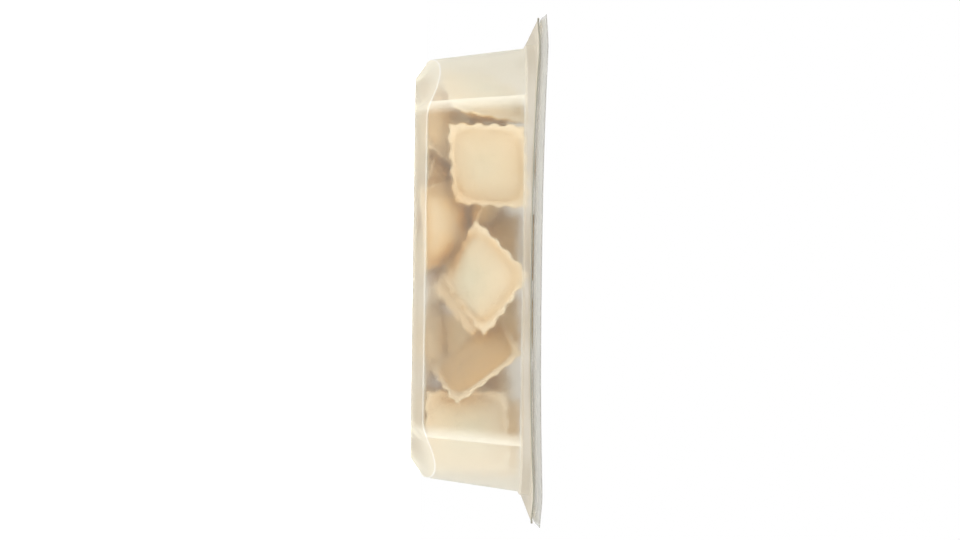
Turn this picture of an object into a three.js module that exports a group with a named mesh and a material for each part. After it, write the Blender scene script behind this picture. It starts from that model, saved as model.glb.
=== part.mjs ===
// A sealed tray of fresh square ravioli, in millimetres, +Z up.
// X runs along the tray, Y across it, and the origin is the middle of its flat base.
// Three kinds of piece: the frosted tray, the clear film sealed on its flange, and the
// ravioli, some set along the front wall and the rest fallen into a heap behind them.

import * as THREE from "three";

const degrees = Math.PI / 180;

// The tray: a drafted bowl with round corners, a base with its corners cut off, a chamfer
// of one slope round that base, a low upright shoulder above a ledge, and a flange.
const TRAY = {
  skin: 0.8,
  baseHalfLength: 84.8,
  baseHalfWidth: 52.8,
  cornerCut: 84.2,
  cornerCutAngle: 48 * degrees,
  cornerCutRounding: 5,
  chamferRun: 7.2,
  chamferRise: 5.2,
  wallHalfLength: 91.8,
  wallHalfWidth: 59.4,
  wallCorner: 19.6,
  wallCornerGrowth: 0.055,
  draft: 7.3 * degrees,
  ledgeHeight: 47.6,
  ledgeRise: 0.7,
  ledgeRun: 1.4,
  shoulderLean: 0.3,
  flangeHalfLength: 108.6,
  flangeHalfWidth: 76,
  flangeCorner: 8,
  flangeHeight: 53.4,
};

// The long flanges sag between the corners, and the four corner tips droop.
const WARP = {
  sag: 2.3,
  sagHalfLength: 94,
  sagPower: 2.4,
  tipDroop: 1.2,
  tipReach: 11,
};

// The film: sealed along the middle of the flange. Its loose margin turns up along the
// two long sides, more where the flange sags, and lies flat across the ends.
const FILM = {
  skin: 0.4,
  gap: 0.5,
  sealInset: 5.2,
  turnInset: 2.6,
  overhang: 1.1,
  endShrink: 1.6,
  corner: 2.5,
  marginRise: 2.6,
  sagShare: 0.35,
  endWidth: 62,
  middleHeight: 51.8,
};

// One raviolo: a square with a pinched, zigzag-cut rim round a filled pillow. Its full
// side rises more than its flat one. A ring of either side lies at a reach, which is a
// share of half the side, and a height above the middle of the rim.
const RAVIOLO = {
  side: 38,
  teeth: 5,
  toothDepth: 1.3,
  outlinePower: 10,
  rimHalf: 0.85,
  full: [
    { reach: 0.82, height: 1.6, count: 16 },
    { reach: 0.6, height: 6.6, count: 16 },
    { reach: 0.28, height: 8.6, count: 8 },
  ],
  flat: [
    { reach: 0.8, height: 1.4, count: 12 },
    { reach: 0.5, height: 4.4, count: 8 },
  ],
  pillowPower: 4,
};

// The heap: its size, how far a soft piece's corners bend, and how pieces find a place.
const HEAP = {
  pieces: 34,
  fillTop: 51.2,
  gap: 0.45,
  bend: 1.6,
  seed: 3,
  startTilt: 60 * degrees,
  fallSteps: 500,
  fallsPerPiece: 14,
  refusals: 12,
  farthestMove: 5,
  farthestTurn: 24 * degrees,
  nudgeTries: 600,
  farthestNudge: 6,
  nudgeTurn: 10 * degrees,
};

// The ravioli seen from the front, each about a middle. Its flat side faces the front (-Y),
// turned so many degrees round Z and so many down, where more than 90 shows the full side.
// Spin turns the square in its own plane. Where a bend is given, it's kept instead of a
// random one.
const FRONT_ROW = [
  {
    at: [-45.8, -50.8, 32.8],
    round: 18,
    down: 26.7,
    spin: -5,
    bend: { u: 0, v: 0, twist: 0.3 },
  },
  {
    at: [3.6, -46.9, 31.2],
    round: 5,
    down: 225,
    spin: 52.4,
    bend: { u: -0.2, v: 0.3, twist: -2.3 },
  },
  {
    at: [39.3, -44.6, 28],
    round: -58,
    down: 33,
    spin: -19,
    bend: { u: 2, v: 0.2, twist: 0.3 },
  },
  { at: [73.2, -37.9, 23.5], round: -22, down: -6, spin: -1 },
  { at: [-77.4, -37.3, 30], round: -60, down: -19, spin: -11 },
  { at: [-20, -30, 13], round: 5, down: 120, spin: 5 },
  { at: [28, -14, 32], round: -40, down: 30, spin: -5 },
  { at: [76, -25, 34], round: -30, down: 4, spin: 2 },
  { at: [-13, -10, 31], round: -45, down: 22, spin: 5 },
];

const COLOURS = {
  tray: 0xdcd8c8,
  film: 0xe6e8e4,
  dough: 0xe6d3ae,
};

// Points of each corner arc and straight side, shared by every outline of the tray and
// its film, so that neighbouring outlines join point to point.
const CORNER_STEPS = 6;
const LONG_SIDE_STEPS = 10;
const SHORT_SIDE_STEPS = 6;

// ---------------------------------------------------------------- skins made of rings

// An outline of a rectangle with round corners, counterclockwise seen from above.
function roundedOutline(halfLength, halfWidth, radius) {
  const points = [];
  for (let quarter = 0; quarter < 4; quarter++) {
    const signX = quarter === 0 || quarter === 3 ? 1 : -1;
    const signY = quarter < 2 ? 1 : -1;
    const centreX = signX * (halfLength - radius);
    const centreY = signY * (halfWidth - radius);
    for (let step = 0; step <= CORNER_STEPS; step++) {
      const angle = (quarter + step / CORNER_STEPS) * Math.PI / 2;
      points.push([centreX + radius * Math.cos(angle), centreY + radius * Math.sin(angle)]);
    }
    const [startX, startY] = points[points.length - 1];
    const isLong = quarter % 2 === 0;
    const steps = isLong ? LONG_SIDE_STEPS : SHORT_SIDE_STEPS;
    const endX = isLong ? -startX : startX;
    const endY = isLong ? startY : -startY;
    for (let step = 1; step < steps; step++) {
      const share = 0.5 - Math.cos(Math.PI * step / steps) / 2;
      points.push([startX + (endX - startX) * share, startY + (endY - startY) * share]);
    }
  }
  return points;
}

// Two triangles a step between rings of any two counts that start at the same angle.
function stitch(triangles, lower, upper) {
  let low = 0;
  let high = 0;
  while (low < lower.count || high < upper.count) {
    const lowNext = (low + 1) / lower.count;
    const highNext = (high + 1) / upper.count;
    const lowHere = lower.first + (low % lower.count);
    const highHere = upper.first + (high % upper.count);
    if (high >= upper.count || (low < lower.count && lowNext <= highNext + 1e-9)) {
      low += 1;
      triangles.push(lowHere, lower.first + (low % lower.count), highHere);
    } else {
      high += 1;
      triangles.push(lowHere, upper.first + (high % upper.count), highHere);
    }
  }
}

// A closed skin through rings of points, from the one that closes the underside,
// outward and up, to the one that closes the top.
function skinOf(rings) {
  const positions = [];
  const triangles = [];
  const placed = rings.map((ring) => {
    const first = positions.length / 3;
    ring.forEach((point) => positions.push(...point));
    return { first, count: ring.length };
  });
  for (let index = 0; index + 1 < placed.length; index++) {
    stitch(triangles, placed[index], placed[index + 1]);
  }
  closeRing(positions, triangles, placed[0], rings[0], true);
  closeRing(positions, triangles, placed[placed.length - 1], rings[rings.length - 1], false);
  const geometry = new THREE.BufferGeometry();
  geometry.setAttribute("position", new THREE.Float32BufferAttribute(positions, 3));
  geometry.setIndex(triangles);
  geometry.computeVertexNormals();
  return geometry;
}

// A fan from a ring to its middle, which may lie at a height of its own.
function closeRing(positions, triangles, placed, ring, facesDown) {
  const centre = positions.length / 3;
  const mean = (axis) => ring.reduce((sum, point) => sum + point[axis], 0) / ring.length;
  positions.push(mean(0), mean(1), ring.middleHeight ?? mean(2));
  for (let index = 0; index < placed.count; index++) {
    const here = placed.first + index;
    const next = placed.first + ((index + 1) % placed.count);
    if (facesDown) {
      triangles.push(next, here, centre);
    } else {
      triangles.push(here, next, centre);
    }
  }
}

// ---------------------------------------------------------------------------- the tray

// Distance of a point outside (+) or inside (-) a rectangle with round corners.
function distanceOutside(x, y, halfLength, halfWidth, radius) {
  const overX = Math.abs(x) - (halfLength - radius);
  const overY = Math.abs(y) - (halfWidth - radius);
  const outside = Math.hypot(Math.max(overX, 0), Math.max(overY, 0));
  return outside + Math.min(Math.max(overX, overY), 0) - radius;
}

// A quarter of the base's outline, shrunk by the rounding where its cut corner ends.
const cutCos = Math.cos(TRAY.cornerCutAngle);
const cutSin = Math.sin(TRAY.cornerCutAngle);
const coreLength = TRAY.baseHalfLength - TRAY.cornerCutRounding;
const coreWidth = TRAY.baseHalfWidth - TRAY.cornerCutRounding;
const coreCut = TRAY.cornerCut - TRAY.cornerCutRounding;
const baseCore = [
  new THREE.Vector2(coreLength, 0),
  new THREE.Vector2(coreLength, (coreCut - coreLength * cutCos) / cutSin),
  new THREE.Vector2((coreCut - coreWidth * cutSin) / cutCos, coreWidth),
  new THREE.Vector2(0, coreWidth),
];

// The nearest point of that quarter to a point, and the distance from the real outline.
function nearBase(x, y) {
  const point = new THREE.Vector2(Math.abs(x), Math.abs(y));
  let best = null;
  for (let index = 0; index + 1 < baseCore.length; index++) {
    const side = baseCore[index + 1].clone().sub(baseCore[index]);
    const along = point.clone().sub(baseCore[index]).dot(side) / side.lengthSq();
    const nearest = baseCore[index].clone().addScaledVector(side, Math.min(1, Math.max(0, along)));
    const distance = nearest.distanceTo(point);
    if (!best || distance < best.distance) {
      best = { nearest, distance };
    }
  }
  const isInside = point.x < coreLength && point.y < coreWidth
    && point.x * cutCos + point.y * cutSin < coreCut;
  const distance = (isInside ? -best.distance : best.distance) - TRAY.cornerCutRounding;
  return { nearest: best.nearest, distance };
}

// Half length, half width and corner radius of the wall at a height.
function wallSize(height, inset) {
  const spread = Math.tan(TRAY.draft) * height - inset;
  return [
    TRAY.wallHalfLength + spread,
    TRAY.wallHalfWidth + spread,
    TRAY.wallCorner + TRAY.wallCornerGrowth * height - inset,
  ];
}

const chamferSlope = TRAY.chamferRun / TRAY.chamferRise;
const chamferSecant = Math.hypot(1, chamferSlope);

// How far a point stands proud of the chamfer that rings the base.
function proudOfChamfer(x, y, height, inset) {
  return (nearBase(x, y).distance - chamferSlope * height) / chamferSecant + inset;
}

// The crisp edge where the chamfer meets the wall: low along the sides, high at corners.
function chamferEdge(inset) {
  const count = roundedOutline(1, 1, 0.5).length;
  return Array.from({ length: count }, (_, index) => {
    let low = inset;
    let high = TRAY.ledgeHeight;
    while (high - low > 1e-4) {
      const middle = (low + high) / 2;
      const [x, y] = roundedOutline(...wallSize(middle, inset))[index];
      if (proudOfChamfer(x, y, middle, inset) > 0) {
        low = middle;
      } else {
        high = middle;
      }
    }
    const [x, y] = roundedOutline(...wallSize(low, inset))[index];
    return [x, y, low];
  });
}

// The foot of the chamfer: each point of its edge, brought down the slope to the floor.
function chamferFoot(edge, floor) {
  return edge.map(([x, y, height]) => {
    const { nearest } = nearBase(x, y);
    const down = new THREE.Vector2(Math.abs(x), Math.abs(y)).sub(nearest).normalize();
    const run = chamferSlope * (height - floor);
    return [x - Math.sign(x) * down.x * run, y - Math.sign(y) * down.y * run, floor];
  });
}

// Height of the flange's upper face, which is warped.
function flangeTop(x, y) {
  const along = Math.min(1, Math.abs(x) / WARP.sagHalfLength);
  const across = Math.abs(y) / TRAY.flangeHalfWidth;
  const sag = WARP.sag * (1 - along ** WARP.sagPower) * across ** 2;
  const tipX = Math.max(0, 1 - (TRAY.flangeHalfLength - Math.abs(x)) / WARP.tipReach);
  const tipY = Math.max(0, 1 - (TRAY.flangeHalfWidth - Math.abs(y)) / WARP.tipReach);
  return TRAY.flangeHeight - sag - WARP.tipDroop * tipX * tipY;
}

// An outline raised to heights that a function gives.
function raised(outline, height) {
  return outline.map(([x, y]) => [x, y, height(x, y)]);
}

// The rings of one side of the tray's wall, from the floor up to the flange.
function bowlRings(inset) {
  const edge = chamferEdge(inset);
  const wallTop = wallSize(TRAY.ledgeHeight, inset);
  const ledge = wallTop.map((size) => size + TRAY.ledgeRun);
  const shoulder = ledge.map((size) => size + TRAY.shoulderLean);
  const lift = inset / 2;
  return [
    chamferFoot(edge, inset),
    edge,
    raised(roundedOutline(...wallTop), () => TRAY.ledgeHeight + lift),
    raised(roundedOutline(...ledge), () => TRAY.ledgeHeight + TRAY.ledgeRise + lift),
    raised(roundedOutline(...shoulder), (x, y) => flangeTop(x, y) - (inset > 0 ? 0 : TRAY.skin)),
  ];
}

function trayGeometry() {
  const rim = roundedOutline(TRAY.flangeHalfLength, TRAY.flangeHalfWidth, TRAY.flangeCorner);
  return skinOf([
    ...bowlRings(0),
    raised(rim, (x, y) => flangeTop(x, y) - TRAY.skin),
    raised(rim, flangeTop),
    ...bowlRings(TRAY.skin).reverse(),
  ]);
}

// ---------------------------------------------------------------------------- the film

// An outline of the film, which the sealing has drawn in a little across the ends.
function filmOutline(inset, radius) {
  const halfWidth = TRAY.flangeHalfWidth - inset;
  return roundedOutline(TRAY.flangeHalfLength - inset, halfWidth, radius).map(([x, y]) => {
    const atEnd = (Math.abs(x) / TRAY.flangeHalfLength) ** 8;
    const drawnIn = FILM.endShrink * atEnd * (1 - (y / halfWidth) ** 4);
    return [x - Math.sign(x) * drawnIn, y];
  });
}

// The rings of one face of the film, from the plate inside the seal to the loose edge.
function filmRings(lift) {
  const ride = (rise) => (x, y) => {
    const top = flangeTop(x, y);
    const isLoose = THREE.MathUtils.smoothstep(Math.abs(y), FILM.endWidth, TRAY.flangeHalfWidth);
    const turnedUp = FILM.marginRise + FILM.sagShare * (TRAY.flangeHeight - top);
    return top + FILM.gap + lift + rise * isLoose * turnedUp;
  };
  const plate = raised(filmOutline(FILM.sealInset, TRAY.flangeCorner), ride(0));
  plate.middleHeight = FILM.middleHeight + lift;
  return [
    plate,
    raised(filmOutline(FILM.turnInset, TRAY.flangeCorner), ride(0.35)),
    raised(filmOutline(-FILM.overhang, FILM.corner), ride(1)),
  ];
}

function filmGeometry() {
  return skinOf([...filmRings(0), ...filmRings(FILM.skin).reverse()]);
}

// ------------------------------------------------------------------------- one raviolo

const halfSide = RAVIOLO.side / 2;

// A reach with square level lines, rounder for a low power, and 1 on the outline.
function reachOf(u, v, power) {
  return (Math.abs(u / halfSide) ** power + Math.abs(v / halfSide) ** power) ** (1 / power);
}

function pillowRing(reach, count, height) {
  return Array.from({ length: count }, (_, index) => {
    const angle = (index / count - 1 / 8) * 2 * Math.PI;
    const u = Math.cos(angle);
    const v = Math.sin(angle);
    const scale = reach / reachOf(u, v, RAVIOLO.pillowPower);
    return [u * scale, v * scale, height];
  });
}

// The cut edge: teeth and notches in turn, along each side from corner to corner.
function cutEdge(height) {
  const points = [];
  const steps = 2 * RAVIOLO.teeth;
  for (let side = 0; side < 4; side++) {
    for (let step = 0; step < steps; step++) {
      const along = (step / steps - 0.5) * RAVIOLO.side;
      const out = halfSide - (step % 2 === 1 ? RAVIOLO.toothDepth : 0);
      const turn = side * Math.PI / 2;
      const u = out * Math.cos(turn) - along * Math.sin(turn);
      const v = out * Math.sin(turn) + along * Math.cos(turn);
      const scale = Math.min(1, 1 / reachOf(u, v, RAVIOLO.outlinePower));
      points.push([u * scale, v * scale, height]);
    }
  }
  return points;
}

// How far a bent piece lies out of its own plane.
function bendAt(bend, u, v) {
  const alongU = u / halfSide;
  const alongV = v / halfSide;
  return bend.u * alongU ** 2 + bend.v * alongV ** 2 + bend.twist * alongU * alongV;
}

function ravioloGeometry(bend) {
  const rings = [
    ...[...RAVIOLO.flat].reverse().map((ring) => pillowRing(ring.reach, ring.count, -ring.height)),
    cutEdge(-RAVIOLO.rimHalf),
    cutEdge(RAVIOLO.rimHalf),
    ...RAVIOLO.full.map((ring) => pillowRing(ring.reach, ring.count, ring.height)),
  ];
  return skinOf(rings.map((ring) => ring.map(([u, v, w]) => [u, v, w + bendAt(bend, u, v)])));
}

// ------------------------------------------------------------------------------ the heap

// A seeded source of numbers from 0 to 1.
function randomSource(seed) {
  let state = seed;
  return () => {
    state = (state + 0x6d2b79f5) | 0;
    let mixed = Math.imul(state ^ (state >>> 15), 1 | state);
    mixed = (mixed + Math.imul(mixed ^ (mixed >>> 7), 61 | mixed)) ^ mixed;
    return ((mixed ^ (mixed >>> 14)) >>> 0) / 4294967296;
  };
}

const random = randomSource(HEAP.seed);
const spread = (reach) => (random() * 2 - 1) * reach;

// Height of the pillow's face at a reach, between its rings.
function faceHeight(rings, reach) {
  let outer = { reach: 1, height: RAVIOLO.rimHalf };
  for (const ring of rings) {
    if (reach > ring.reach) {
      const share = (reach - ring.reach) / (outer.reach - ring.reach);
      return ring.height + (outer.height - ring.height) * Math.min(1, share);
    }
    outer = ring;
  }
  return outer.height;
}

// Points spread over a raviolo's two faces, in its own frame, the outermost first.
const SAMPLE_STEPS = 7;
const faceSamples = [];
for (let row = -SAMPLE_STEPS; row <= SAMPLE_STEPS; row++) {
  for (let column = -SAMPLE_STEPS; column <= SAMPLE_STEPS; column++) {
    const step = halfSide / SAMPLE_STEPS;
    const scale = step / Math.max(1, reachOf(row * step, column * step, RAVIOLO.outlinePower));
    const u = row * scale;
    const v = column * scale;
    const reach = reachOf(u, v, RAVIOLO.pillowPower);
    faceSamples.push(new THREE.Vector3(u, v, faceHeight(RAVIOLO.full, reach)));
    faceSamples.push(new THREE.Vector3(u, v, -faceHeight(RAVIOLO.flat, reach)));
  }
}
faceSamples.sort((one, other) => other.lengthSq() - one.lengthSq());

const pieceReach = halfSide * Math.SQRT2 + RAVIOLO.rimHalf;

// Where a sample of a piece lies in the tray.
function sampleIn(piece, sample, target) {
  target.copy(sample);
  target.z += bendAt(piece.bend, sample.x, sample.y);
  return target.applyQuaternion(piece.rotation).add(piece.position);
}

// Whether a point lies in a piece, or nearer to it than the gap.
const local = new THREE.Vector3();
function holds(piece, point) {
  local.copy(point).sub(piece.position);
  if (local.lengthSq() > pieceReach ** 2) {
    return false;
  }
  local.applyQuaternion(piece.inverse);
  if (reachOf(local.x, local.y, RAVIOLO.outlinePower) > 1 + HEAP.gap / halfSide) {
    return false;
  }
  const height = local.z - bendAt(piece.bend, local.x, local.y);
  const reach = reachOf(local.x, local.y, RAVIOLO.pillowPower);
  return height < faceHeight(RAVIOLO.full, reach) + HEAP.gap
    && height > -faceHeight(RAVIOLO.flat, reach) - HEAP.gap;
}

function isInTray(point) {
  const inset = TRAY.skin + HEAP.gap;
  const size = wallSize(Math.min(point.z, TRAY.ledgeHeight), inset);
  if (point.z < inset || distanceOutside(point.x, point.y, ...size) > 0) {
    return false;
  }
  return point.z > 3 * TRAY.chamferRise || proudOfChamfer(point.x, point.y, point.z, inset) < 0;
}

const sampled = new THREE.Vector3();
function fits(piece, placed) {
  const near = placed.filter((other) => piece.position.distanceTo(other.position) < 2 * pieceReach);
  for (const sample of faceSamples) {
    sampleIn(piece, sample, sampled);
    if (!isInTray(sampled) || near.some((other) => holds(other, sampled))) {
      return false;
    }
  }
  return !near.some((other) => other.samples.some((point) => holds(piece, point)));
}

// A piece at a place, softly bent.
function pieceAt(position, rotation, bend) {
  return { position, rotation, bend, inverse: rotation.clone().invert() };
}

function randomBend() {
  return { u: spread(HEAP.bend), v: spread(HEAP.bend), twist: spread(HEAP.bend) };
}

function randomMove(piece, move, fall, turn) {
  const position = piece.position.clone().add(
    new THREE.Vector3(spread(move), spread(move), spread(move) - fall),
  );
  const axis = new THREE.Vector3(spread(1), spread(1), spread(1)).normalize();
  const turned = new THREE.Quaternion().setFromAxisAngle(axis, spread(turn));
  return pieceAt(position, turned.multiply(piece.rotation), piece.bend);
}

function topOf(piece) {
  return Math.max(...faceSamples.map((sample) => sampleIn(piece, sample, sampled).z));
}

function about(axis, angle) {
  return new THREE.Quaternion().setFromAxisAngle(axis, angle * degrees);
}

// A piece of the front row, moved as little as finds it room.
function frontPiece({ at, round, down, spin, bend }, placed) {
  const acrossX = new THREE.Vector3(1, 0, 0);
  const upZ = new THREE.Vector3(0, 0, 1);
  const rotation = about(upZ, round).multiply(about(acrossX, down - 90)).multiply(about(upZ, spin));
  const piece = pieceAt(new THREE.Vector3(...at), rotation, { ...randomBend(), ...bend });
  for (let step = 0; step < HEAP.nudgeTries; step++) {
    const share = step / HEAP.nudgeTries;
    const moved = randomMove(piece, HEAP.farthestNudge * share, 0, HEAP.nudgeTurn * share);
    if (topOf(moved) < HEAP.fillTop && fits(moved, placed)) {
      return moved;
    }
  }
  return null;
}

// A piece let fall over the tray: it keeps each small move down that finds room.
function fallenPiece(placed) {
  const start = new THREE.Vector3(
    spread(TRAY.wallHalfLength - halfSide),
    spread(TRAY.wallHalfWidth - halfSide),
    TRAY.flangeHeight + RAVIOLO.side,
  );
  const turn = new THREE.Euler(spread(HEAP.startTilt), spread(HEAP.startTilt), spread(Math.PI));
  let piece = pieceAt(start, new THREE.Quaternion().setFromEuler(turn), randomBend());
  for (let step = 0; step < HEAP.fallSteps; step++) {
    const share = (1 - step / HEAP.fallSteps) ** 1.5 + 0.03;
    const move = HEAP.farthestMove * share;
    const moved = randomMove(piece, move, move, HEAP.farthestTurn * share);
    if (fits(moved, placed)) {
      piece = moved;
    }
  }
  return piece;
}

// The front row, then piece after piece, each the lowest lying of a few that fall.
function heapOfRavioli() {
  const placed = [];
  const place = (piece) => {
    piece.samples = faceSamples.map((sample) => sampleIn(piece, sample, new THREE.Vector3()));
    placed.push(piece);
  };
  for (const setting of FRONT_ROW) {
    const piece = frontPiece(setting, placed);
    if (piece) {
      place(piece);
    }
  }
  let refused = 0;
  while (placed.length < HEAP.pieces && refused < HEAP.refusals) {
    let lowest = null;
    for (let fall = 0; fall < HEAP.fallsPerPiece; fall++) {
      const piece = fallenPiece(placed);
      const isLowest = !lowest || piece.position.z < lowest.position.z;
      if (isLowest && topOf(piece) < HEAP.fillTop) {
        lowest = piece;
      }
    }
    if (lowest) {
      place(lowest);
    } else {
      refused += 1;
    }
  }
  return placed;
}

// -------------------------------------------------------------------------- the assembly

function addPiece(group, name, geometry, material) {
  const mesh = new THREE.Mesh(geometry, material);
  mesh.name = name;
  group.add(mesh);
  return mesh;
}

const frosted = new THREE.MeshStandardMaterial({ color: COLOURS.tray, roughness: 0.4 });
const clear = new THREE.MeshStandardMaterial({ color: COLOURS.film, roughness: 0.15 });
const dough = new THREE.MeshStandardMaterial({ color: COLOURS.dough, roughness: 0.6 });

const pack = new THREE.Group();
addPiece(pack, "tray", trayGeometry(), frosted);
addPiece(pack, "lid_film", filmGeometry(), clear);
heapOfRavioli().forEach((piece, index) => {
  const name = `ravioli_${String(index + 1).padStart(2, "0")}`;
  const mesh = addPiece(pack, name, ravioloGeometry(piece.bend), dough.clone());
  mesh.position.copy(piece.position);
  mesh.quaternion.copy(piece.rotation);
});

export default pack;
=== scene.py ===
# A sealed tray of fresh ravioli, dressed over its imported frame.
# Metres, in the frame's own axes: X along the tray, Y across it, Z up through the film.
import math

import bpy
import numpy as np
from mathutils import Matrix, Vector
from mathutils.bvhtree import BVHTree


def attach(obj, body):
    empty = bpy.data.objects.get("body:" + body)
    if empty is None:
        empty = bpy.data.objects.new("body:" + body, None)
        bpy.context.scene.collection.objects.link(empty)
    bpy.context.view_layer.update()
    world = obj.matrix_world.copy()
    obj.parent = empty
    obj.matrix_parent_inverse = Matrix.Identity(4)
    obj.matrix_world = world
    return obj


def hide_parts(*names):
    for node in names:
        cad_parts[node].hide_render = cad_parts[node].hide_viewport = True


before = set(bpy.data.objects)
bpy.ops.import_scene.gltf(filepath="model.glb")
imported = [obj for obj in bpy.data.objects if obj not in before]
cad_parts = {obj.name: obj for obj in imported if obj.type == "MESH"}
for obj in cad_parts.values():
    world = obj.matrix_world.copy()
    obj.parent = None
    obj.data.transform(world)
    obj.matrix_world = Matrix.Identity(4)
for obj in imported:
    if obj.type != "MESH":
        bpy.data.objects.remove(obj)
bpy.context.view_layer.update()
print("frame loaded:", len(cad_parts), "solids")


# node helpers

def addNode(tree, kind, values=None, links=None, **settings):
    node = tree.nodes.new(kind)
    for name, value in settings.items():
        setattr(node, name, value)
    for socket, value in (values or {}).items():
        node.inputs[socket].default_value = value
    for socket, source in (links or {}).items():
        tree.links.new(source, node.inputs[socket])
    return node


def setOrLink(tree, socket, term):
    if isinstance(term, bpy.types.NodeSocket):
        tree.links.new(term, socket)
    else:
        socket.default_value = term


def mathOf(tree, operation, *terms):
    node = addNode(tree, "ShaderNodeMath", operation=operation)
    for socket, term in zip(node.inputs, terms):
        setOrLink(tree, socket, term)
    return node.outputs[0]


def colour(rgb):
    return (*rgb, 1.0)


def blendOf(tree, share, first, second):
    # a mix of two colours, by the sockets that a mix node keeps for colours
    node = addNode(tree, "ShaderNodeMix", None, {0: share}, data_type="RGBA")
    setOrLink(tree, node.inputs[6], first)
    setOrLink(tree, node.inputs[7], second)
    return node.outputs[2]


def mixShaders(tree, share, first, second):
    node = addNode(tree, "ShaderNodeMixShader", None, {0: share, 1: first, 2: second})
    return node.outputs[0]


def newMaterial(name):
    material = bpy.data.materials.new(name)
    material.use_nodes = True
    material.node_tree.nodes.clear()
    return material, material.node_tree


# mesh helpers

def eased(share):
    # finer steps near both ends
    return 0.5 - math.cos(math.pi * share) / 2


def outline(halfLength, halfWidth, radius, cornerSteps=18, longSteps=40, shortSteps=26):
    # a rectangle with round corners, counterclockwise from the +X side
    points = []
    for quarter in range(4):
        signX = 1 if quarter in (0, 3) else -1
        signY = 1 if quarter < 2 else -1
        centreX = signX * (halfLength - radius)
        centreY = signY * (halfWidth - radius)
        for step in range(cornerSteps + 1):
            angle = (quarter + eased(step / cornerSteps)) * math.pi / 2
            points.append((centreX + radius * math.cos(angle), centreY + radius * math.sin(angle)))
        isLong = quarter % 2 == 0
        startX, startY = points[-1]
        endX, endY = (-startX, startY) if isLong else (startX, -startY)
        steps = longSteps if isLong else shortSteps
        for step in range(1, steps):
            share = eased(step / steps)
            points.append((startX + (endX - startX) * share, startY + (endY - startY) * share))
    return np.array(points)


def raised(points, heights):
    return np.column_stack([points, np.broadcast_to(heights, len(points))])


def unitRows(rows):
    return rows / np.maximum(np.linalg.norm(rows, axis=1, keepdims=True), 1e-9)


fillet = {"steps": 4, "margin": 1.4}  # the margin is in radii


def softened(rings, radii):
    # each inner ring becomes a small fillet, with a ring just outside both of its ends
    made = [rings[0]]
    for before, ring, after, radius in zip(rings, rings[1:], rings[2:], radii):
        start = unitRows(before - ring) * radius
        end = unitRows(after - ring) * radius
        made.append(ring + start * fillet["margin"])
        for share in np.linspace(0, 1, fillet["steps"] + 1):
            made.append(ring + start * (1 - share) ** 2 + end * share ** 2)
        made.append(ring + end * fillet["margin"])
    return made + [rings[-1]]


def filletOf(ring):
    # the first ring of one inner ring's fillet, and the first past it, as softened lays them
    first = 2 + (ring - 1) * (fillet["steps"] + 3)
    return first, first + fillet["steps"] + 1


def skinThrough(name, rings):
    # a closed skin through rings of equal count, from the underside outward to the top
    count = len(rings[0])
    here = np.arange(count)
    after = np.roll(here, -1)
    faces = [here[::-1].tolist()]
    for index in range(len(rings) - 1):
        low = index * count
        high = low + count
        faces += np.column_stack([low + here, low + after, high + after, high + here]).tolist()
    faces.append(((len(rings) - 1) * count + here).tolist())
    mesh = bpy.data.meshes.new(name)
    mesh.from_pydata(np.vstack(rings).tolist(), [], faces)
    mesh.shade_smooth()
    piece = bpy.data.objects.new(name, mesh)
    bpy.context.collection.objects.link(piece)
    return piece


def setMark(piece, name, values):
    attribute = piece.data.attributes.new(name, "FLOAT", "POINT")
    attribute.data.foreach_set("value", np.asarray(values, dtype=float))


# the tray

tray = {
    "skin": 0.0007,
    "baseHalfLength": 0.0848,
    "baseHalfWidth": 0.0528,
    "baseInnerShare": 0.9,
    "cornerCut": 0.0842,
    "cornerCutAngle": math.radians(48),
    "cornerCutRounding": 0.005,
    "chamferSlope": 7.2 / 5.2,
    "edgeHalvings": 24,
    "wallHalfLength": 0.0918,
    "wallHalfWidth": 0.0594,
    "wallCorner": 0.0196,
    "wallCornerGrowth": 0.055,
    "draft": math.radians(7.3),
    "ledgeHeight": 0.0476,
    "ledgeRise": 0.0007,
    "ledgeRun": 0.0014,
    "shoulderLean": 0.0003,
    "flangeHalfLength": 0.1086,
    "flangeHalfWidth": 0.076,
    "flangeCorner": 0.008,
    "flangeHeight": 0.0534,
    "sag": 0.0023,
    "sagHalfLength": 0.094,
    "sagPower": 2.4,
    "tipDroop": 0.0012,
    "tipReach": 0.011,
    "outerRadii": [0.0012, 0.0005, 0.0004, 0.0004, 0.0009],
    "rimRadii": [0.0002, 0.0002],
    "innerRadii": [0.0007, 0.0004, 0.0004, 0.0009, 0.0014],
    "pointsPerRing": len(outline(1, 1, 0.5)),
}
trayMarks = {
    "highlightBandWidth": 0.006,
    "highlightBandPower": 1.5,
    "flatTolerance": 1e-5,
    "pastLedge": 0.001,
    "cornerFrom": 0.002,
    "hazeFrom": 0.003,
    "shoulderBelow": 0.0006,
    "shoulderFade": 0.001,
    # painted highlight lines along these rings
    "highlightCreases": {2: 1, 3: 0.2, 4: 0.2},  # by ring: the chamfer's edge, the wall's top, the ledge
    "rim": (6, 7),  # the rings under and over the flange's rim
}


def wallSize(height, inset):
    spread = math.tan(tray["draft"]) * height - inset
    return (
        tray["wallHalfLength"] + spread,
        tray["wallHalfWidth"] + spread,
        tray["wallCorner"] + tray["wallCornerGrowth"] * height - inset,
    )


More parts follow.
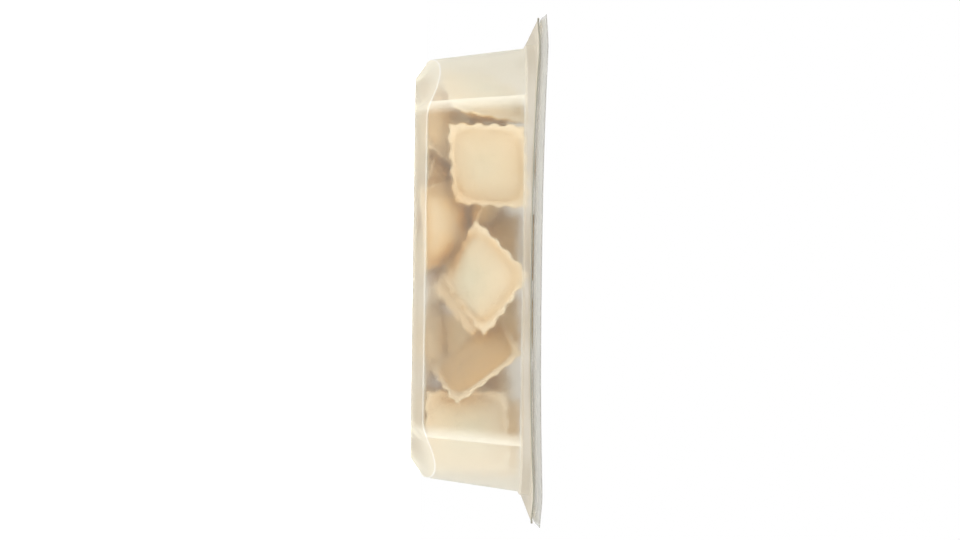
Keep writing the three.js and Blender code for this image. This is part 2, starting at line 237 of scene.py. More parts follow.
def nearBase(points):
    # the nearest point of a quarter of the base's core, and the distance to the base
    cos, sin = math.cos(tray["cornerCutAngle"]), math.sin(tray["cornerCutAngle"])
    rounding = tray["cornerCutRounding"]
    length = tray["baseHalfLength"] - rounding
    width = tray["baseHalfWidth"] - rounding
    cut = tray["cornerCut"] - rounding
    core = np.array([
        (length, 0),
        (length, (cut - length * cos) / sin),
        ((cut - width * sin) / cos, width),
        (0, width),
    ])
    quarter = np.abs(points)
    nearest = np.zeros_like(quarter)
    distance = np.full(len(quarter), np.inf)
    for start, end in zip(core, core[1:]):
        side = end - start
        along = np.clip((quarter - start) @ side / (side @ side), 0, 1)
        foot = start + along[:, None] * side
        away = np.linalg.norm(quarter - foot, axis=1)
        nearest = np.where((away < distance)[:, None], foot, nearest)
        distance = np.minimum(away, distance)
    inside = (quarter[:, 0] < length) & (quarter[:, 1] < width) & (quarter @ (cos, sin) < cut)
    return nearest, np.where(inside, -distance, distance) - rounding


def chamferRings(inset):
    # the foot of the chamfer on the floor, and the crisp edge where it meets the wall
    slope = tray["chamferSlope"]
    base = outline(*wallSize(0, inset))
    rise = outline(*wallSize(1, inset)) - base
    low = np.full(len(base), inset)
    high = np.full(len(base), tray["ledgeHeight"])
    for _ in range(tray["edgeHalvings"]):
        middle = (low + high) / 2
        distance = nearBase(base + rise * middle[:, None])[1]
        proud = (distance - slope * middle) / math.hypot(1, slope) + inset > 0
        low = np.where(proud, middle, low)
        high = np.where(proud, high, middle)
    edge = base + rise * low[:, None]
    outward = unitRows(np.abs(edge) - nearBase(edge)[0])
    foot = edge - np.sign(edge) * outward * (slope * (low - inset))[:, None]
    return raised(foot, inset), raised(edge, low)


def flangeTop(points):
    # the long sides sag between their ends, and the four tips droop
    along = np.minimum(1, np.abs(points[:, 0]) / tray["sagHalfLength"])
    across = np.abs(points[:, 1]) / tray["flangeHalfWidth"]
    sag = tray["sag"] * (1 - along ** tray["sagPower"]) * across ** 2
    tipX = np.maximum(0, 1 - (tray["flangeHalfLength"] - np.abs(points[:, 0])) / tray["tipReach"])
    tipY = np.maximum(0, 1 - (tray["flangeHalfWidth"] - np.abs(points[:, 1])) / tray["tipReach"])
    return tray["flangeHeight"] - sag - tray["tipDroop"] * tipX * tipY


def bowlRings(inset):
    # one side of the skin from base to flange: the outer one, or with an inset the inner
    foot, edge = chamferRings(inset)
    wallTop = np.array(wallSize(tray["ledgeHeight"], inset))
    ledge = wallTop + tray["ledgeRun"]
    shoulder = outline(*(ledge + tray["shoulderLean"]))
    lift = inset / 2
    underFlange = 0 if inset else tray["skin"]
    return [
        foot * (tray["baseInnerShare"], tray["baseInnerShare"], 1),
        foot,
        edge,
        raised(outline(*wallTop), tray["ledgeHeight"] + lift),
        raised(outline(*ledge), tray["ledgeHeight"] + tray["ledgeRise"] + lift),
        raised(shoulder, flangeTop(shoulder) - underFlange),
    ]


def makeTray():
    rim = outline(tray["flangeHalfLength"], tray["flangeHalfWidth"], tray["flangeCorner"])
    rimTop = raised(rim, flangeTop(rim))
    rimBottom = rimTop - (0, 0, tray["skin"])
    rings = bowlRings(0) + [rimBottom, rimTop] + bowlRings(tray["skin"])[::-1]
    radii = tray["outerRadii"] + tray["rimRadii"] + tray["innerRadii"]
    return skinThrough("frostedTray", softened(rings, radii))


def markBands(piece):
    # painted highlight bands in milk where the flat panels of the wall meet its round corners; milky
    # corners, a haze that thickens towards the base, and the shoulder above the ledge
    points = np.array([vertex.co for vertex in piece.data.vertices])
    height = points[:, 2]
    length, width, corner = wallSize(0, 0)
    run = (math.tan(tray["draft"]) - tray["wallCornerGrowth"]) * height
    highlightBand = np.zeros(len(points))
    onFlat = np.zeros(len(points), dtype=bool)
    for axis, half, otherHalf in ((0, length, width), (1, width, length)):
        fromEdge = half - corner + run - np.abs(points[:, axis])
        fade = np.clip(1 - fromEdge / trayMarks["highlightBandWidth"], 0, 1) ** trayMarks["highlightBandPower"]
        onPanel = np.abs(points[:, 1 - axis]) > otherHalf - corner
        inside = (fromEdge > -trayMarks["flatTolerance"]) & onPanel
        highlightBand = np.maximum(highlightBand, np.where(inside, fade, 0))
        onFlat |= inside
    onWall = height < tray["ledgeHeight"] + trayMarks["pastLedge"]
    onCorner = onWall & ~onFlat & (height > trayMarks["cornerFrom"])
    fromLedge = 1 - height / tray["ledgeHeight"]
    overLedge = height - tray["ledgeHeight"] + trayMarks["shoulderBelow"]
    setMark(piece, "highlightBand", np.where(onWall, highlightBand, 0))
    setMark(piece, "corner", np.where(onCorner, 1, 0))
    setMark(piece, "haze", np.where(onWall & (height > trayMarks["hazeFrom"]), fromLedge, 0))
    setMark(piece, "shoulder", np.clip(overLedge / trayMarks["shoulderFade"], 0, 1))


def markCreases(piece):
    # painted highlight lines where the outer skin is pinched; dark at the cut rim of the flange, partly
    # its own darkness and partly painted shade of the gap under the film
    ringCount = len(piece.data.vertices) // tray["pointsPerRing"]
    creaseHighlight = np.zeros(ringCount)
    for ring, strength in trayMarks["highlightCreases"].items():
        first, end = filletOf(ring)
        creaseHighlight[first + 1:end - 1] = strength
    rim = np.zeros(ringCount)
    bottom, top = trayMarks["rim"]
    rim[filletOf(bottom)[0]:filletOf(top)[1]] = 1
    setMark(piece, "creaseHighlight", np.repeat(creaseHighlight, tray["pointsPerRing"]))
    setMark(piece, "rim", np.repeat(rim, tray["pointsPerRing"]))


trayPiece = makeTray()
markBands(trayPiece)
markCreases(trayPiece)
print("tray made:", len(trayPiece.data.polygons), "faces")


# the film

film = {
    "skin": 0.0002,
    "gap": 0.0005,
    "sealInset": 0.0052,
    "turnInset": 0.0026,
    "overhang": 0.00109,
    "endShrink": 0.0016,
    "endPower": 8,
    "widthPower": 4,
    "corner": 0.0025,
    "marginRise": 0.00252,
    "turnShare": 0.35,
    "sagShare": 0.35,
    "endWidth": 0.062,
    "middleHeight": 0.0518,
    "platePower": 1.4,
    "plateShares": (0.08, 0.2, 0.35, 0.5, 0.65, 0.78, 0.88, 0.95, 1.0),
    "marginShares": (0.12, 0.3, 0.5, 0.7, 0.85, 1.0),
}


def filmOutline(inset, radius):
    # the ends are drawn in a little in their middle
    halfWidth = tray["flangeHalfWidth"] - inset
    points = outline(tray["flangeHalfLength"] - inset, halfWidth, radius)
    atEnd = (np.abs(points[:, 0]) / tray["flangeHalfLength"]) ** film["endPower"]
    drawnIn = film["endShrink"] * atEnd * (1 - (points[:, 1] / halfWidth) ** film["widthPower"])
    points[:, 0] -= np.sign(points[:, 0]) * drawnIn
    return points


def filmRings(lift):
    # the plate dips to its middle, and the loose margin turns up along the long sides
    sealed = filmOutline(film["sealInset"], tray["flangeCorner"])
    sealedHeight = flangeTop(sealed) + film["gap"]
    dip = sealedHeight - film["middleHeight"]
    rings = []
    for share in film["plateShares"]:
        height = film["middleHeight"] + dip * share ** film["platePower"]
        rings.append(raised(sealed * share, height + lift))
    turn = filmOutline(film["turnInset"], tray["flangeCorner"])
    edge = filmOutline(-film["overhang"], film["corner"])
    looseWidth = tray["flangeHalfWidth"] - film["endWidth"]
    for share in film["marginShares"]:
        points = turn + (edge - turn) * share
        top = flangeTop(points)
        loose = np.clip((np.abs(points[:, 1]) - film["endWidth"]) / looseWidth, 0, 1)
        loose = loose * loose * (3 - 2 * loose)
        turnedUp = film["marginRise"] + film["sagShare"] * (tray["flangeHeight"] - top)
        rise = (film["turnShare"] + (1 - film["turnShare"]) * share) * loose * turnedUp
        rings.append(raised(points, top + film["gap"] + lift + rise))
    return rings


def makeFilm():
    below = filmRings(0)
    above = filmRings(film["skin"])[::-1]
    piece = skinThrough("lidFilm", below + above)
    margin = [0] * len(film["plateShares"]) + [1] * len(film["marginShares"])
    setMark(piece, "margin", np.repeat(margin + margin[::-1], len(below[0])))
    return piece


filmPiece = makeFilm()
print("film made:", len(filmPiece.data.polygons), "faces")


# one perfect raviolo, flat, its fuller side up

raviolo = {
    "side": 0.038,
    "teeth": 5,
    "pointsPerTooth": 8,
    "toothDepth": 0.0014,
    "outlinePower": 10,
    "pillowPower": 4,
    "pillowReach": 0.84,
    "pillowFall": 3,
    "pillowSwell": 0.85,
    "rimHalf": 0.0007,
    "cutHalf": 0.0005,
    "rimGlowFade": 0.08,
    "fullHeight": 0.0088,
    "flatHeight": 0.0045,
    "reaches": (
        0.07, 0.16, 0.25, 0.34, 0.43, 0.52, 0.6, 0.67, 0.73,
        0.78, 0.815, 0.84, 0.87, 0.91, 0.95, 0.98, 1.0,
    ),
}
halfSide = raviolo["side"] / 2


def reachOf(points, power):
    return (np.abs(points / halfSide) ** power).sum(axis=1) ** (1 / power)


def ravioloEdge(toothDepth):
    # the cut edge, a square with soft corners and teeth along its sides
    steps = raviolo["teeth"] * raviolo["pointsPerTooth"]
    points = []
    for side in range(4):
        turn = side * math.pi / 2
        for step in range(steps):
            along = (step / steps - 0.5) * raviolo["side"]
            notch = math.sin(math.pi * step / raviolo["pointsPerTooth"]) ** 2
            out = halfSide - toothDepth * notch
            points.append((
                out * math.cos(turn) - along * math.sin(turn),
                out * math.sin(turn) + along * math.cos(turn),
            ))
    points = np.array(points)
    return points / np.maximum(1, reachOf(points, raviolo["outlinePower"]))[:, None]


def ravioloRings(height, sign):
    # rings from the middle of the pillow out over the pinched rim to its teeth
    plain = ravioloEdge(0)
    toothed = ravioloEdge(raviolo["toothDepth"])
    pillow = plain / reachOf(plain, raviolo["pillowPower"])[:, None]
    limit = raviolo["pillowReach"]
    rings = []
    for reach in raviolo["reaches"]:
        out = max(0, reach - limit) / (1 - limit)
        edge = plain * (1 - out ** 2) + toothed * out ** 2
        points = pillow * min(reach, limit) * (1 - out) + edge * out
        fall = min(1, reach / limit) ** raviolo["pillowFall"]
        swell = (1 - fall) ** raviolo["pillowSwell"]
        rim = raviolo["rimHalf"] + (raviolo["cutHalf"] - raviolo["rimHalf"]) * out ** 3
        rings.append(raised(points, sign * (rim + (height - rim) * swell)))
    return rings


def makeRaviolo():
    full = ravioloRings(raviolo["fullHeight"], 1)
    flat = ravioloRings(raviolo["flatHeight"], -1)
    piece = skinThrough("perfectRaviolo", flat + full[::-1])
    reaches = np.array(raviolo["reaches"])
    filling = np.clip(1 - reaches / raviolo["pillowReach"], 0, 1)
    # the mark for painted light on the thin rim, as if light shone through the dough
    rimGlow = np.clip((reaches - raviolo["pillowReach"]) / raviolo["rimGlowFade"], 0, 1)
    for name, values in (("filling", filling), ("rimGlow", rimGlow)):
        setMark(piece, name, np.repeat(np.concatenate([values, values[::-1]]), len(full[0])))
    return piece


perfectRaviolo = makeRaviolo()
print("raviolo made:", len(perfectRaviolo.data.polygons), "faces")


# materials

grain = {
    "Grain Size": 0.0004,
    "Speck Size": 0.002,
    "Speck Share": 0.1,
}


def grainGroup():
    # fine grain for a frosted or floury surface: a height and a speckle mask
    group = bpy.data.node_groups.new("fineGrain", "ShaderNodeTree")
    for name, value in grain.items():
        socket = group.interface.new_socket(name, in_out="INPUT", socket_type="NodeSocketFloat")
        socket.default_value = value
    for name in ("Height", "Specks"):
        group.interface.new_socket(name, in_out="OUTPUT", socket_type="NodeSocketFloat")
    start = addNode(group, "NodeGroupInput")
    end = addNode(group, "NodeGroupOutput")
    place = addNode(group, "ShaderNodeTexCoord").outputs["Object"]
    fineScale = mathOf(group, "DIVIDE", 1.0, start.outputs["Grain Size"])
    speckScale = mathOf(group, "DIVIDE", 1.0, start.outputs["Speck Size"])
    fine = addNode(group, "ShaderNodeTexNoise", {"Detail": 2.0}, {"Vector": place, "Scale": fineScale})
    cells = addNode(group, "ShaderNodeTexVoronoi", None, {"Vector": place, "Scale": speckScale})
    chance = addNode(group, "ShaderNodeSeparateColor", None, {"Color": cells.outputs["Color"]})
    radius = mathOf(group, "MULTIPLY", start.outputs["Speck Share"], chance.outputs["Red"])
    speck = mathOf(group, "LESS_THAN", cells.outputs["Distance"], radius)
    group.links.new(fine.outputs["Fac"], end.inputs["Height"])
    group.links.new(speck, end.inputs["Specks"])
    return group


fineGrain = grainGroup()


def letLightThrough(tree, surface, lampShare):
    # lamps shine through the piece, less what it takes
    path = addNode(tree, "ShaderNodeLightPath")
    clear = addNode(tree, "ShaderNodeBsdfTransparent", {"Color": colour(lampShare)})
    mixed = mixShaders(tree, path.outputs["Is Shadow Ray"], surface, clear.outputs[0])
    addNode(tree, "ShaderNodeOutputMaterial", None, {"Surface": mixed})


def marked(tree, name, share):
    mark = addNode(tree, "ShaderNodeAttribute", attribute_name=name)
    return mathOf(tree, "MULTIPLY", mark.outputs["Fac"], share)


frostedLook = {
    "base": (0.97, 0.965, 0.945),
    "roughness": 0.35,
    "ior": 1.14,
    "gloss": 0.12,
    "glossRoughness": 0.12,
    "grainSize": 0.0005,
    "grainStrength": 0.15,
    "grainDepth": 0.0002,
    "milk": (0.93, 0.9, 0.79),
    "shoulderMilk": (0.77, 0.71, 0.6),
    "highlightWhite": (0.97, 0.96, 0.93),
    "milkEdge": 0.5,
    "milkEdgePower": 1.3,
    "milkMarks": {"highlightBand": 0.6, "haze": 0.07, "corner": 0.18, "shoulder": 0.22, "creaseHighlight": 0.32},
    "milkSpeck": 0.22,
    "speckShare": 0.15,
    "rim": (0.2, 0.21, 0.17),
    "rimShadeShare": 0.6,
    "rimEvenness": 0.5,
    "lampShare": (0.93, 0.92, 0.88),
}


def makeFrostedPlastic():
    # clear plastic, milkier where the skin turns away, at its marks and in specks
    look = frostedLook
    material, tree = newMaterial("frostedPlastic")
    frost = addNode(tree, "ShaderNodeGroup", {
        "Grain Size": look["grainSize"],
        "Speck Share": look["speckShare"],
    }, node_tree=fineGrain)
    bump = addNode(tree, "ShaderNodeBump", {
        "Strength": look["grainStrength"],
        "Distance": look["grainDepth"],
    }, {"Height": frost.outputs["Height"]})
    plastic = addNode(tree, "ShaderNodeBsdfPrincipled", {
        "Base Color": colour(look["base"]),
        "Roughness": look["roughness"],
        "IOR": look["ior"],
        "Transmission Weight": 1.0,
        "Coat Weight": look["gloss"],
        "Coat Roughness": look["glossRoughness"],
    }, {"Normal": bump.outputs[0]})
    facing = addNode(tree, "ShaderNodeLayerWeight", {"Blend": 0.5})
    edge = mathOf(tree, "POWER", facing.outputs["Facing"], look["milkEdgePower"])
    share = mathOf(tree, "MULTIPLY", edge, look["milkEdge"])
    # the band and crease marks are painted highlights in milk
    for name, strength in look["milkMarks"].items():
        share = mathOf(tree, "ADD", share, marked(tree, name, strength))
    specks = mathOf(tree, "MULTIPLY", frost.outputs["Specks"], look["milkSpeck"])
    share = mathOf(tree, "ADD", share, specks)
    tint = blendOf(tree, marked(tree, "shoulder", 1.0), colour(look["milk"]), colour(look["shoulderMilk"]))
    # painted highlight: near-white milk on the pinched creases
    tint = blendOf(tree, marked(tree, "creaseHighlight", 1.0), tint, colour(look["highlightWhite"]))
    milk = addNode(tree, "ShaderNodeBsdfDiffuse", None, {"Color": tint})
    skin = mixShaders(tree, share, plastic.outputs[0], milk.outputs[0])
    # the cut rim is dark in patches, after the grain: partly the cut edge's own darkness, partly painted
    # shade of the gap under the film
    shade = addNode(tree, "ShaderNodeBsdfDiffuse", {"Color": colour(look["rim"])})
    patches = mathOf(tree, "ADD", frost.outputs["Height"], look["rimEvenness"])
    rim = mathOf(tree, "MULTIPLY", marked(tree, "rim", look["rimShadeShare"]), patches)
    letLightThrough(tree, mixShaders(tree, rim, skin, shade.outputs[0]), look["lampShare"])
    return material


filmLook = {
    "base": (0.96, 0.96, 0.95),
    "roughness": 0.08,
    "ior": 1.45,
    "milk": (0.8, 0.79, 0.74),
    "milkPlate": 0.02,
    "milkMargin": 0.3,
    "lampShare": (0.92, 0.92, 0.91),
}


def makeClearFilm():
    look = filmLook
    material, tree = newMaterial("clearFilm")
    plastic = addNode(tree, "ShaderNodeBsdfPrincipled", {
        "Base Color": colour(look["base"]),
        "Roughness": look["roughness"],
        "IOR": look["ior"],
        "Transmission Weight": 1.0,
    })
    milk = addNode(tree, "ShaderNodeBsdfDiffuse", {"Color": colour(look["milk"])})
    share = mathOf(tree, "ADD", marked(tree, "margin", look["milkMargin"]), look["milkPlate"])
    skin = mixShaders(tree, share, plastic.outputs[0], milk.outputs[0])
    letLightThrough(tree, skin, look["lampShare"])
    return material


doughLook = {
    "mottleScale": 160.0,
    "mottleDetail": 3.0,
    "blotchScale": 420.0,
    "blotchDetail": 2.0,
    "filling": ((0.76, 0.69, 0.53), (0.5, 0.48, 0.35)),
    "rimGlow": (0.88, 0.78, 0.6),
    "rimGlowShare": 0.6,
    "foldShade": (0.66, 0.38, 0.1),
    "foldShadeDepth": 2.8,
    "roughness": 0.62,
    "specular": 0.3,
    "grainStrength": 0.3,
    "grainDepth": 0.0003,
}
# the darkest brown tone is painted shade, for pieces whose faces lie in shade
doughTones = {
    "cream": {"seed": 11.0, "dark": (0.8, 0.67, 0.47), "light": (0.85, 0.74, 0.56), "filled": 0.9},
    "pale": {"seed": 1.0, "dark": (0.68, 0.54, 0.35), "light": (0.73, 0.6, 0.43), "filled": 1.1},
    "egg": {"seed": 4.0, "dark": (0.67, 0.51, 0.31), "light": (0.72, 0.57, 0.38), "filled": 0.7},
    "gold": {"seed": 9.0, "dark": (0.58, 0.42, 0.22), "light": (0.65, 0.49, 0.29), "filled": 0.6},
    "shadeBrown": {"seed": 14.0, "dark": (0.43, 0.26, 0.1), "light": (0.53, 0.34, 0.15), "filled": 0.15},
}


def seededNoise(tree, scale, detail, seed):
    place = addNode(tree, "ShaderNodeTexCoord").outputs["Object"]
    values = {"Scale": scale, "Detail": detail, "W": seed}
    noise = addNode(tree, "ShaderNodeTexNoise", values, {"Vector": place}, noise_dimensions="4D")
    return noise.outputs["Fac"]


def makeDough(name, seed, dark, light, filled):
    # the sheet over its filling, with painted light on the thin rim where light would shine through the
    # dough, and painted shade deep in the folds between the ravioli
    look = doughLook
    material, tree = newMaterial(name)
    mottle = seededNoise(tree, look["mottleScale"], look["mottleDetail"], seed)
    blotch = seededNoise(tree, look["blotchScale"], look["blotchDetail"], seed)
    sheet = blendOf(tree, mottle, colour(dark), colour(light))
    filling = blendOf(tree, blotch, *map(colour, look["filling"]))
    dough = blendOf(tree, marked(tree, "filling", filled), sheet, filling)
    # painted light on the thin rim, as if light shone through the dough
    dough = blendOf(tree, marked(tree, "rimGlow", look["rimGlowShare"]), dough, colour(look["rimGlow"]))
    # painted shade: the dough turns brown deep in the folds between the ravioli, where shade falls
    foldShade = mathOf(tree, "MINIMUM", marked(tree, "foldShade", look["foldShadeDepth"]), 1.0)
    dough = blendOf(tree, foldShade, dough, colour(look["foldShade"]))
    flour = addNode(tree, "ShaderNodeGroup", node_tree=fineGrain)
    bump = addNode(tree, "ShaderNodeBump", {
        "Strength": look["grainStrength"],
        "Distance": look["grainDepth"],
    }, {"Height": flour.outputs["Height"]})
    surface = addNode(tree, "ShaderNodeBsdfPrincipled", {
        "Roughness": look["roughness"],
        "Specular IOR Level": look["specular"],
    }, {"Base Color": dough, "Normal": bump.outputs[0]})
    addNode(tree, "ShaderNodeOutputMaterial", None, {"Surface": surface.outputs[0]})
    return material


trayPiece.data.materials.append(makeFrostedPlastic())
filmPiece.data.materials.append(makeClearFilm())
doughs = {tone: makeDough(tone + "Dough", **values) for tone, values in doughTones.items()}
print("materials made:", len(doughs), "doughs, frosted plastic and clear film")


# the heap of ravioli

heap = {
    "seed": 5,
    "lumpHeight": 0.0007,
    "lumpSize": 0.011,
    "lumpDetail": 1.5,
    "lumpMiddle": 0.6,  # noise above this swells the dough, and noise below it sinks it
    "lumpRamp": 2.5,
    "lumpGain": 2.0,  # noise keeps to the middle half of its range
    "rimLumps": 0.1,
    # how the painted shade in the folds is found: rays cast from each point at the other ravioli
    "shadeRays": 12,
    "shadeReach": 0.024,
    "shadeLift": 0.0003,
    "shadeSmoothing": 4,
    # the tones listed by piece paint light and shade: the brown tone darkens faces that lie in shade, the
    # paler ones lighten pieces that lie deep; pieces not listed draw a tone at random
    "shadeAndLightTones": {
        "01": "egg", "02": "pale", "03": "shadeBrown", "04": "pale", "05": "pale", "06": "egg",
        "07": "gold", "08": "egg", "09": "shadeBrown", "10": "cream", "12": "cream", "16": "cream",
        "17": "cream", "18": "pale", "19": "cream", "27": "shadeBrown", "28": "pale", "31": "shadeBrown",
    },
    "otherTones": ["pale", "egg", "gold"],
}
solid = {
    "flatHeight": 0.0044,
    "rimFrom": 0.88,
    "decimals": 6,  # so that its loose triangles share their corners
}


def softRavioloTree():
    # bends a perfect raviolo, makes it lumpy, and lays it in its place
    tree = bpy.data.node_groups.new("softRaviolo", "GeometryNodeTree")
    inputs = {
        "Geometry": "NodeSocketGeometry",
        "Bend Along": "NodeSocketFloat",
        "Bend Across": "NodeSocketFloat",
        "Twist": "NodeSocketFloat",
        "Half Side": "NodeSocketFloat",
        "Lump Height": "NodeSocketFloat",
        "Lump Size": "NodeSocketFloat",
        "Seed": "NodeSocketFloat",
        "Place": "NodeSocketVector",
        "Turn": "NodeSocketRotation",
        "Dough": "NodeSocketMaterial",
    }
    for name, kind in inputs.items():
        tree.interface.new_socket(name, in_out="INPUT", socket_type=kind)
    tree.interface.new_socket("Geometry", in_out="OUTPUT", socket_type="NodeSocketGeometry")
    start = addNode(tree, "NodeGroupInput")
    end = addNode(tree, "NodeGroupOutput")

    # the bend, from where a point lies along and across the square
    position = addNode(tree, "GeometryNodeInputPosition").outputs[0]
    axes = addNode(tree, "ShaderNodeSeparateXYZ", None, {0: position})
    along = mathOf(tree, "DIVIDE", axes.outputs["X"], start.outputs["Half Side"])
    across = mathOf(tree, "DIVIDE", axes.outputs["Y"], start.outputs["Half Side"])
    bendAlong = mathOf(tree, "MULTIPLY", along, along)
    bendAlong = mathOf(tree, "MULTIPLY", start.outputs["Bend Along"], bendAlong)
    bendAcross = mathOf(tree, "MULTIPLY", across, across)
    bendAcross = mathOf(tree, "MULTIPLY", start.outputs["Bend Across"], bendAcross)
    twist = mathOf(tree, "MULTIPLY", along, across)
    twist = mathOf(tree, "MULTIPLY", start.outputs["Twist"], twist)
    bend = mathOf(tree, "ADD", mathOf(tree, "ADD", bendAlong, bendAcross), twist)
    bent = addNode(tree, "ShaderNodeCombineXYZ", None, {"Z": bend})

    # the lumps, slight on the rim and full over the filling
    noise = addNode(tree, "ShaderNodeTexNoise", {"Detail": heap["lumpDetail"]}, {
        "Vector": position,
        "W": start.outputs["Seed"],
        "Scale": mathOf(tree, "DIVIDE", 1.0, start.outputs["Lump Size"]),
    }, noise_dimensions="4D")
    mark = addNode(tree, "GeometryNodeInputNamedAttribute", {"Name": "filling"}, data_type="FLOAT")
    filled = mathOf(tree, "MULTIPLY", mark.outputs["Attribute"], heap["lumpRamp"])
    filled = mathOf(tree, "MINIMUM", filled, 1 - heap["rimLumps"])
    filled = mathOf(tree, "ADD", filled, heap["rimLumps"])
    lump = mathOf(tree, "SUBTRACT", noise.outputs["Fac"], heap["lumpMiddle"])
    lump = mathOf(tree, "MULTIPLY", lump, filled)
    fullLump = mathOf(tree, "MULTIPLY", start.outputs["Lump Height"], heap["lumpGain"])
    lump = mathOf(tree, "MULTIPLY", lump, fullLump)
    normal = addNode(tree, "GeometryNodeInputNormal").outputs[0]
    lumpy = addNode(tree, "ShaderNodeVectorMath", None, {0: normal, "Scale": lump}, operation="SCALE")

    offsets = {0: bent.outputs[0], 1: lumpy.outputs[0]}
    offset = addNode(tree, "ShaderNodeVectorMath", None, offsets, operation="ADD")
    shaped = addNode(tree, "GeometryNodeSetPosition", None, {
        "Geometry": start.outputs["Geometry"],
        "Offset": offset.outputs[0],
    })
    laid = addNode(tree, "GeometryNodeTransform", None, {
        "Geometry": shaped.outputs[0],
        "Translation": start.outputs["Place"],
        "Rotation": start.outputs["Turn"],
    })
    real = addNode(tree, "GeometryNodeRealizeInstances", None, {"Geometry": laid.outputs[0]})
    dressed = addNode(tree, "GeometryNodeSetMaterial", None, {
        "Geometry": real.outputs[0],
        "Material": start.outputs["Dough"],
    })
    tree.links.new(dressed.outputs[0], end.inputs["Geometry"])
    return tree


def lieOf(node):
    # a raviolo's middle, turn and bend, read from its solid
    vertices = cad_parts[node].data.vertices
    points = np.unique(np.round([vertex.co for vertex in vertices], solid["decimals"]), axis=0)
    middle = points.mean(axis=0)
    normal = np.linalg.svd(points - middle, full_matrices=False)[2][2]
    height = (points - middle) @ normal
    aside = np.linalg.norm(points - middle - np.outer(height, normal), axis=1)
    poles = [points[np.where(side * height > 0, aside, np.inf).argmin()] for side in (1, -1)]
    # the full side's last ring lies nearer its pole
    nearest = [np.sort(np.linalg.norm(points - pole, axis=1))[1] for pole in poles]
    full, flat = poles if nearest[0] < nearest[1] else poles[::-1]
    up = (full - flat) / np.linalg.norm(full - flat)
    origin = flat + up * solid["flatHeight"]
    offsets = points - origin
    heights = offsets @ up
    flatOffsets = offsets - np.outer(heights, up)
    corner = flatOffsets[np.linalg.norm(flatOffsets, axis=1).argmax()]
    corner = corner / np.linalg.norm(corner)
    along = (corner - np.cross(up, corner)) / math.sqrt(2)
    across = np.cross(up, along)
    # the bend and twist that fit the rim best, and how far they lift its middle
    u = flatOffsets @ along / halfSide
    v = flatOffsets @ across / halfSide
    rim = np.maximum(np.abs(u), np.abs(v)) > solid["rimFrom"]
    terms = np.column_stack([u * u, v * v, u * v, np.ones(len(u))])[rim]
    *bend, lift = np.linalg.lstsq(terms, heights[rim], rcond=None)[0].tolist()
    axes = Matrix(np.column_stack([along, across, up]).tolist())
    return origin + up * lift, axes.to_quaternion(), bend


def makeHeap():
    tree = softRavioloTree()
    sockets = {item.name: item.identifier for item in tree.interface.items_tree if item.in_out == "INPUT"}
    random = np.random.default_rng(heap["seed"])
    pieces = []
    for node in sorted(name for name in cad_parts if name.startswith("ravioli_")):
        origin, turn, bend = lieOf(node)
        seed = float(random.uniform(0, 100))
        drawnTone = str(random.choice(heap["otherTones"]))  # drawn for each, used or not
        values = {
            "Bend Along": bend[0],
            "Bend Across": bend[1],
            "Twist": bend[2],
            "Half Side": halfSide,
            "Lump Height": heap["lumpHeight"],
            "Lump Size": heap["lumpSize"],
            "Seed": seed,
            "Place": origin.tolist(),
            "Turn": turn.to_euler(),
            "Dough": doughs[heap["shadeAndLightTones"].get(node[-2:], drawnTone)],
        }
        carrier = bpy.data.objects.new("carrier", perfectRaviolo.data)
        bpy.context.collection.objects.link(carrier)
        modifier = carrier.modifiers.new("softRaviolo", "NODES")
        modifier.node_group = tree
        for name, value in values.items():
            modifier[sockets[name]] = value
        graph = bpy.context.evaluated_depsgraph_get()
        mesh = bpy.data.meshes.new_from_object(carrier.evaluated_get(graph))
        bpy.data.objects.remove(carrier)
        piece = bpy.data.objects.new(node + "_dough", mesh)
        bpy.context.collection.objects.link(piece)
        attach(piece, "root")
        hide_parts(node)
        pieces.append(piece)
    return pieces


def raysAbout(count):
    # directions round +Z, more of them near it, as soft light falls on a face
    golden = math.pi * (3 - math.sqrt(5))
    share = (np.arange(count) + 0.5) / count
    turn = golden * np.arange(count)
    side = np.sqrt(share)
    return np.column_stack([side * np.cos(turn), side * np.sin(turn), np.sqrt(1 - share)])


def heapSurface(meshes):
    # all the ravioli as one surface to cast rays at
    starts = np.cumsum([0] + [len(mesh.vertices) for mesh in meshes]).tolist()
    corners = np.vstack([[vertex.co for vertex in mesh.vertices] for mesh in meshes])
    faces = []
    for start, mesh in zip(starts, meshes):
        faces += [[start + corner for corner in face.vertices] for face in mesh.polygons]
    return BVHTree.FromPolygons(corners.tolist(), faces)


def smoothedOver(mesh, depth):
    # each point goes halfway to its neighbours' mean, a few times over
    edges = np.array([edge.vertices for edge in mesh.edges])
    count = np.bincount(edges.ravel(), minlength=len(depth))
    for _ in range(heap["shadeSmoothing"]):
        total = np.bincount(edges[:, 0], depth[edges[:, 1]], len(depth))
        total += np.bincount(edges[:, 1], depth[edges[:, 0]], len(depth))
        depth = (depth + total / count) / 2
    return depth


def markFolds(pieces):
    # painted shade: how deep each point lies in the folds between the ravioli, from 0 to 1
    surface = heapSurface([piece.data for piece in pieces])
    rays = [Vector(ray) for ray in raysAbout(heap["shadeRays"])]
    reach = heap["shadeReach"]
    for piece in pieces:
        depth = np.zeros(len(piece.data.vertices))
        for index, vertex in enumerate(piece.data.vertices):
            turn = vertex.normal.to_track_quat("Z", "Y")
            start = vertex.co + vertex.normal * heap["shadeLift"]
            for ray in rays:
                distance = surface.ray_cast(start, turn @ ray, reach)[3]
                if distance is not None:
                    depth[index] += 1 - distance / reach
        setMark(piece, "foldShade", smoothedOver(piece.data, depth / len(rays)))


heapPieces = makeHeap()
markFolds(heapPieces)
bpy.data.objects.remove(perfectRaviolo)
print("heap made:", len(heapPieces), "ravioli")

for piece, node, slot in ((trayPiece, "tray", "tray_plastic"), (filmPiece, "lid_film", "film")):
    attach(piece, "root")
    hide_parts(node)


# floor, light and camera

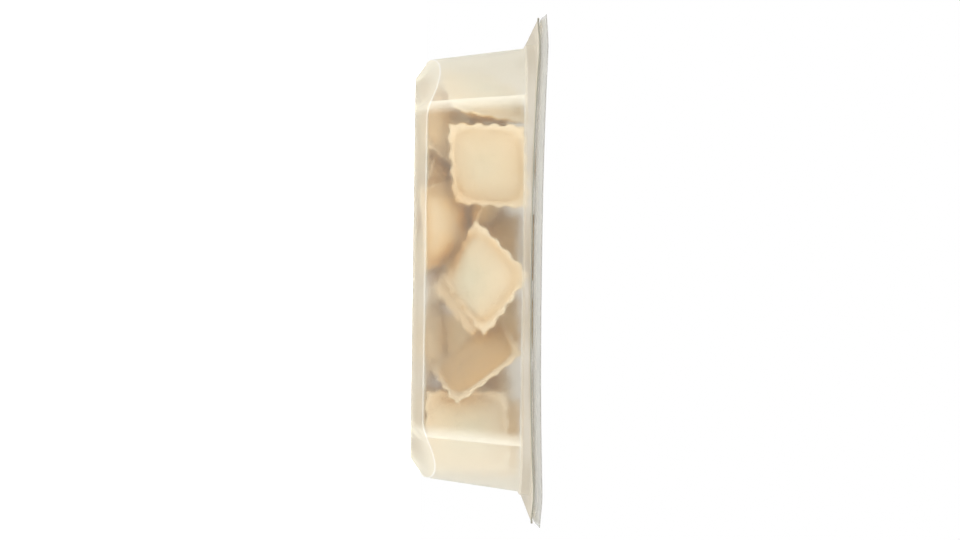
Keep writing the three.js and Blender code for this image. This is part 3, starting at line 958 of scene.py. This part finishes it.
studio = {
    "white": (1, 1, 1),
    "floorGrey": (0.8, 0.8, 0.8),
    "floorRoughness": 0.8,
    "floorSize": 6.0,
    "floorDrop": 0.0003,
    "floorGlow": 0.52,
    "worldStrength": 0.5,
    "lampSize": 1.4,
    "lamps": {
        "upperLamp": {"place": (-0.15, -0.45, 1.1), "power": 2.2},
        "frontLamp": {"place": (0.1, -1.2, 0.15), "power": 10.8},
    },
}


def makeFloor():
    # plain white to the camera, with a softer glow for the plastic and the ravioli
    material, tree = newMaterial("paleFloor")
    path = addNode(tree, "ShaderNodeLightPath")
    glow = mathOf(tree, "ADD", path.outputs["Is Camera Ray"], studio["floorGlow"])
    surface = addNode(tree, "ShaderNodeBsdfPrincipled", {
        "Base Color": colour(studio["floorGrey"]),
        "Roughness": studio["floorRoughness"],
        "Emission Color": colour(studio["white"]),
    }, {"Emission Strength": glow})
    addNode(tree, "ShaderNodeOutputMaterial", None, {"Surface": surface.outputs[0]})
    half = studio["floorSize"] / 2
    mesh = bpy.data.meshes.new("paleFloor")
    corners = [(-half, -half), (half, -half), (half, half), (-half, half)]
    mesh.from_pydata([(x, y, -studio["floorDrop"]) for x, y in corners], [], [(0, 1, 2, 3)])
    mesh.materials.append(material)
    floor = bpy.data.objects.new("paleFloor", mesh)
    bpy.context.collection.objects.link(floor)


def makeWorld():
    # full white behind the pack, less of it as light
    world = bpy.data.worlds.new("whiteStudio")
    bpy.context.scene.world = world
    world.use_nodes = True
    tree = world.node_tree
    background = tree.nodes["Background"]
    background.inputs["Color"].default_value = colour(studio["white"])
    path = addNode(tree, "ShaderNodeLightPath")
    backdrop = mathOf(tree, "MULTIPLY", path.outputs["Is Camera Ray"], 1 - studio["worldStrength"])
    strength = mathOf(tree, "ADD", backdrop, studio["worldStrength"])
    tree.links.new(strength, background.inputs["Strength"])


def makeLamp(name, place, power):
    # a soft square lamp that faces the pack and isn't mirrored in its film
    data = bpy.data.lights.new(name, "AREA")
    data.size = studio["lampSize"]
    data.energy = power
    lamp = bpy.data.objects.new(name, data)
    lamp.location = place
    lamp.visible_glossy = False
    lamp.rotation_mode = "QUATERNION"
    lamp.rotation_quaternion = (-Vector(place)).to_track_quat("-Z", "Y")
    bpy.context.collection.objects.link(lamp)


camera = {
    "place": (-0.0085, -0.8845, 0.0055),
    "lens": 71.25,
    "sensor": 36,
    "roll": 0.0135,
    "shift": (0.0568, -0.0214),
    "near": 0.01,
    "far": 20,
}


def makeCamera():
    # level with the long side, with the pack's base to the left
    data = bpy.data.cameras.new("sideCamera")
    data.lens = camera["lens"]
    data.sensor_width = camera["sensor"]
    data.shift_x, data.shift_y = camera["shift"]
    data.clip_start = camera["near"]
    data.clip_end = camera["far"]
    eye = bpy.data.objects.new("sideCamera", data)
    right = Vector((-camera["roll"], 0, 1)).normalized()
    up = Vector((-1, 0, -camera["roll"])).normalized()
    back = right.cross(up)
    turn = Matrix((right, up, back)).transposed().to_4x4()
    eye.matrix_world = Matrix.Translation(camera["place"]) @ turn
    bpy.context.collection.objects.link(eye)
    bpy.context.scene.camera = eye


makeFloor()
makeWorld()
for name, lamp in studio["lamps"].items():
    makeLamp(name, **lamp)
makeCamera()
bpy.context.scene.view_settings.view_transform = "Standard"
bpy.context.scene.cycles.use_denoising = True
print("studio made:", len(studio["lamps"]), "lamps")
